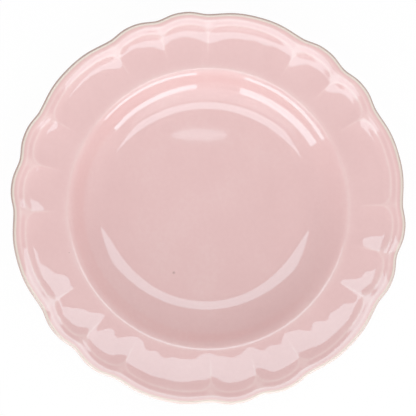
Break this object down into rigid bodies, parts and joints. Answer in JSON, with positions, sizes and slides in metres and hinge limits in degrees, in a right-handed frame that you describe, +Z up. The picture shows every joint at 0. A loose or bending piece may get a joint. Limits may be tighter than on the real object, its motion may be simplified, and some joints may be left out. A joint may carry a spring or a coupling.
{
  "type": "soup plate",
  "caption": "Round deep soup plate with a scalloped, fluted rim, stepped edge moulding and a ring foot, in glossy pink glaze with a cream edge line.",
  "frame": {"origin": "centre of the foot ring's sole, on the table", "axes": "+Z up out of the well, along the plate's axis; +X through the middle of a wide lobe of the rim"},
  "size_m": [0.24, 0.238, 0.0339],
  "materials": {
    "biscuit_clay": "matt fired earthenware",
    "bare_foot_clay": "matt, wiped clean of glaze",
    "pink_glaze": "glossy, paler where it thins over edges",
    "cream_edge_glaze": "glossy cream line"
  },
  "bodies": {
    "root": {"clay_body": "biscuit_clay", "foot_ring": "bare_foot_clay", "face_glaze": "pink_glaze", "rim_edge_glaze": "cream_edge_glaze", "back_glaze": "pink_glaze", "base_glaze": "pink_glaze"}
  },
  "joints": []
}
